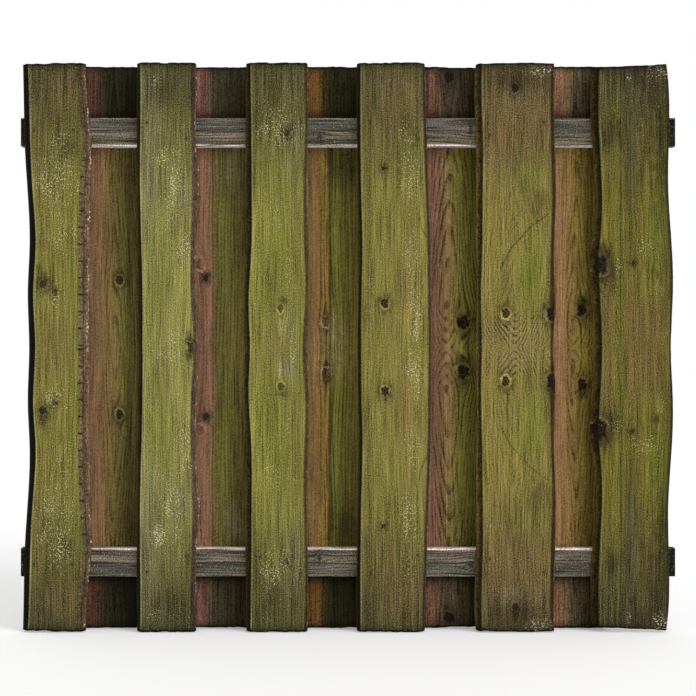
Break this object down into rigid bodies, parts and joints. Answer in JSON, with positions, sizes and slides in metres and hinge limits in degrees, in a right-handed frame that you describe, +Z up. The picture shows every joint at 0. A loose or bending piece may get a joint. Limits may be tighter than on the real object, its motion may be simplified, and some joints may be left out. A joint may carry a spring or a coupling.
{
  "type": "fence panel",
  "caption": "Hit-and-miss privacy fence panel: waney-edged weathered boards nailed to both sides of two horizontal rails, the back boards covering the gaps.",
  "frame": {"origin": "bottom centre of the panel, level with the boards' lower ends and midway through its depth", "axes": "+X along the rails to the right seen from the front, +Y from the front to the back, +Z up"},
  "size_m": [1.8, 0.084, 1.56],
  "materials": {
    "front_boards": "weathered, matt",
    "back_boards": "weathered, matt",
    "rails": "silver-grey, sawn, matt",
    "nails": "rusted, matt"
  },
  "bodies": {
    "root": {"front_board_1": "front_boards", "front_board_2": "front_boards", "front_board_3": "front_boards", "front_board_4": "front_boards", "front_board_5": "front_boards", "front_board_6": "front_boards", "back_board_1": "back_boards", "back_board_2": "back_boards", "back_board_3": "back_boards", "back_board_4": "back_boards", "back_board_5": "back_boards", "bottom_rail": "rails", "top_rail": "rails", "front_board_1_nails": "nails", "front_board_2_nails": "nails", "front_board_3_nails": "nails", "front_board_4_nails": "nails", "front_board_5_nails": "nails", "front_board_6_nails": "nails", "back_board_1_nails": "nails", "back_board_2_nails": "nails", "back_board_3_nails": "nails", "back_board_4_nails": "nails", "back_board_5_nails": "nails"}
  },
  "joints": []
}
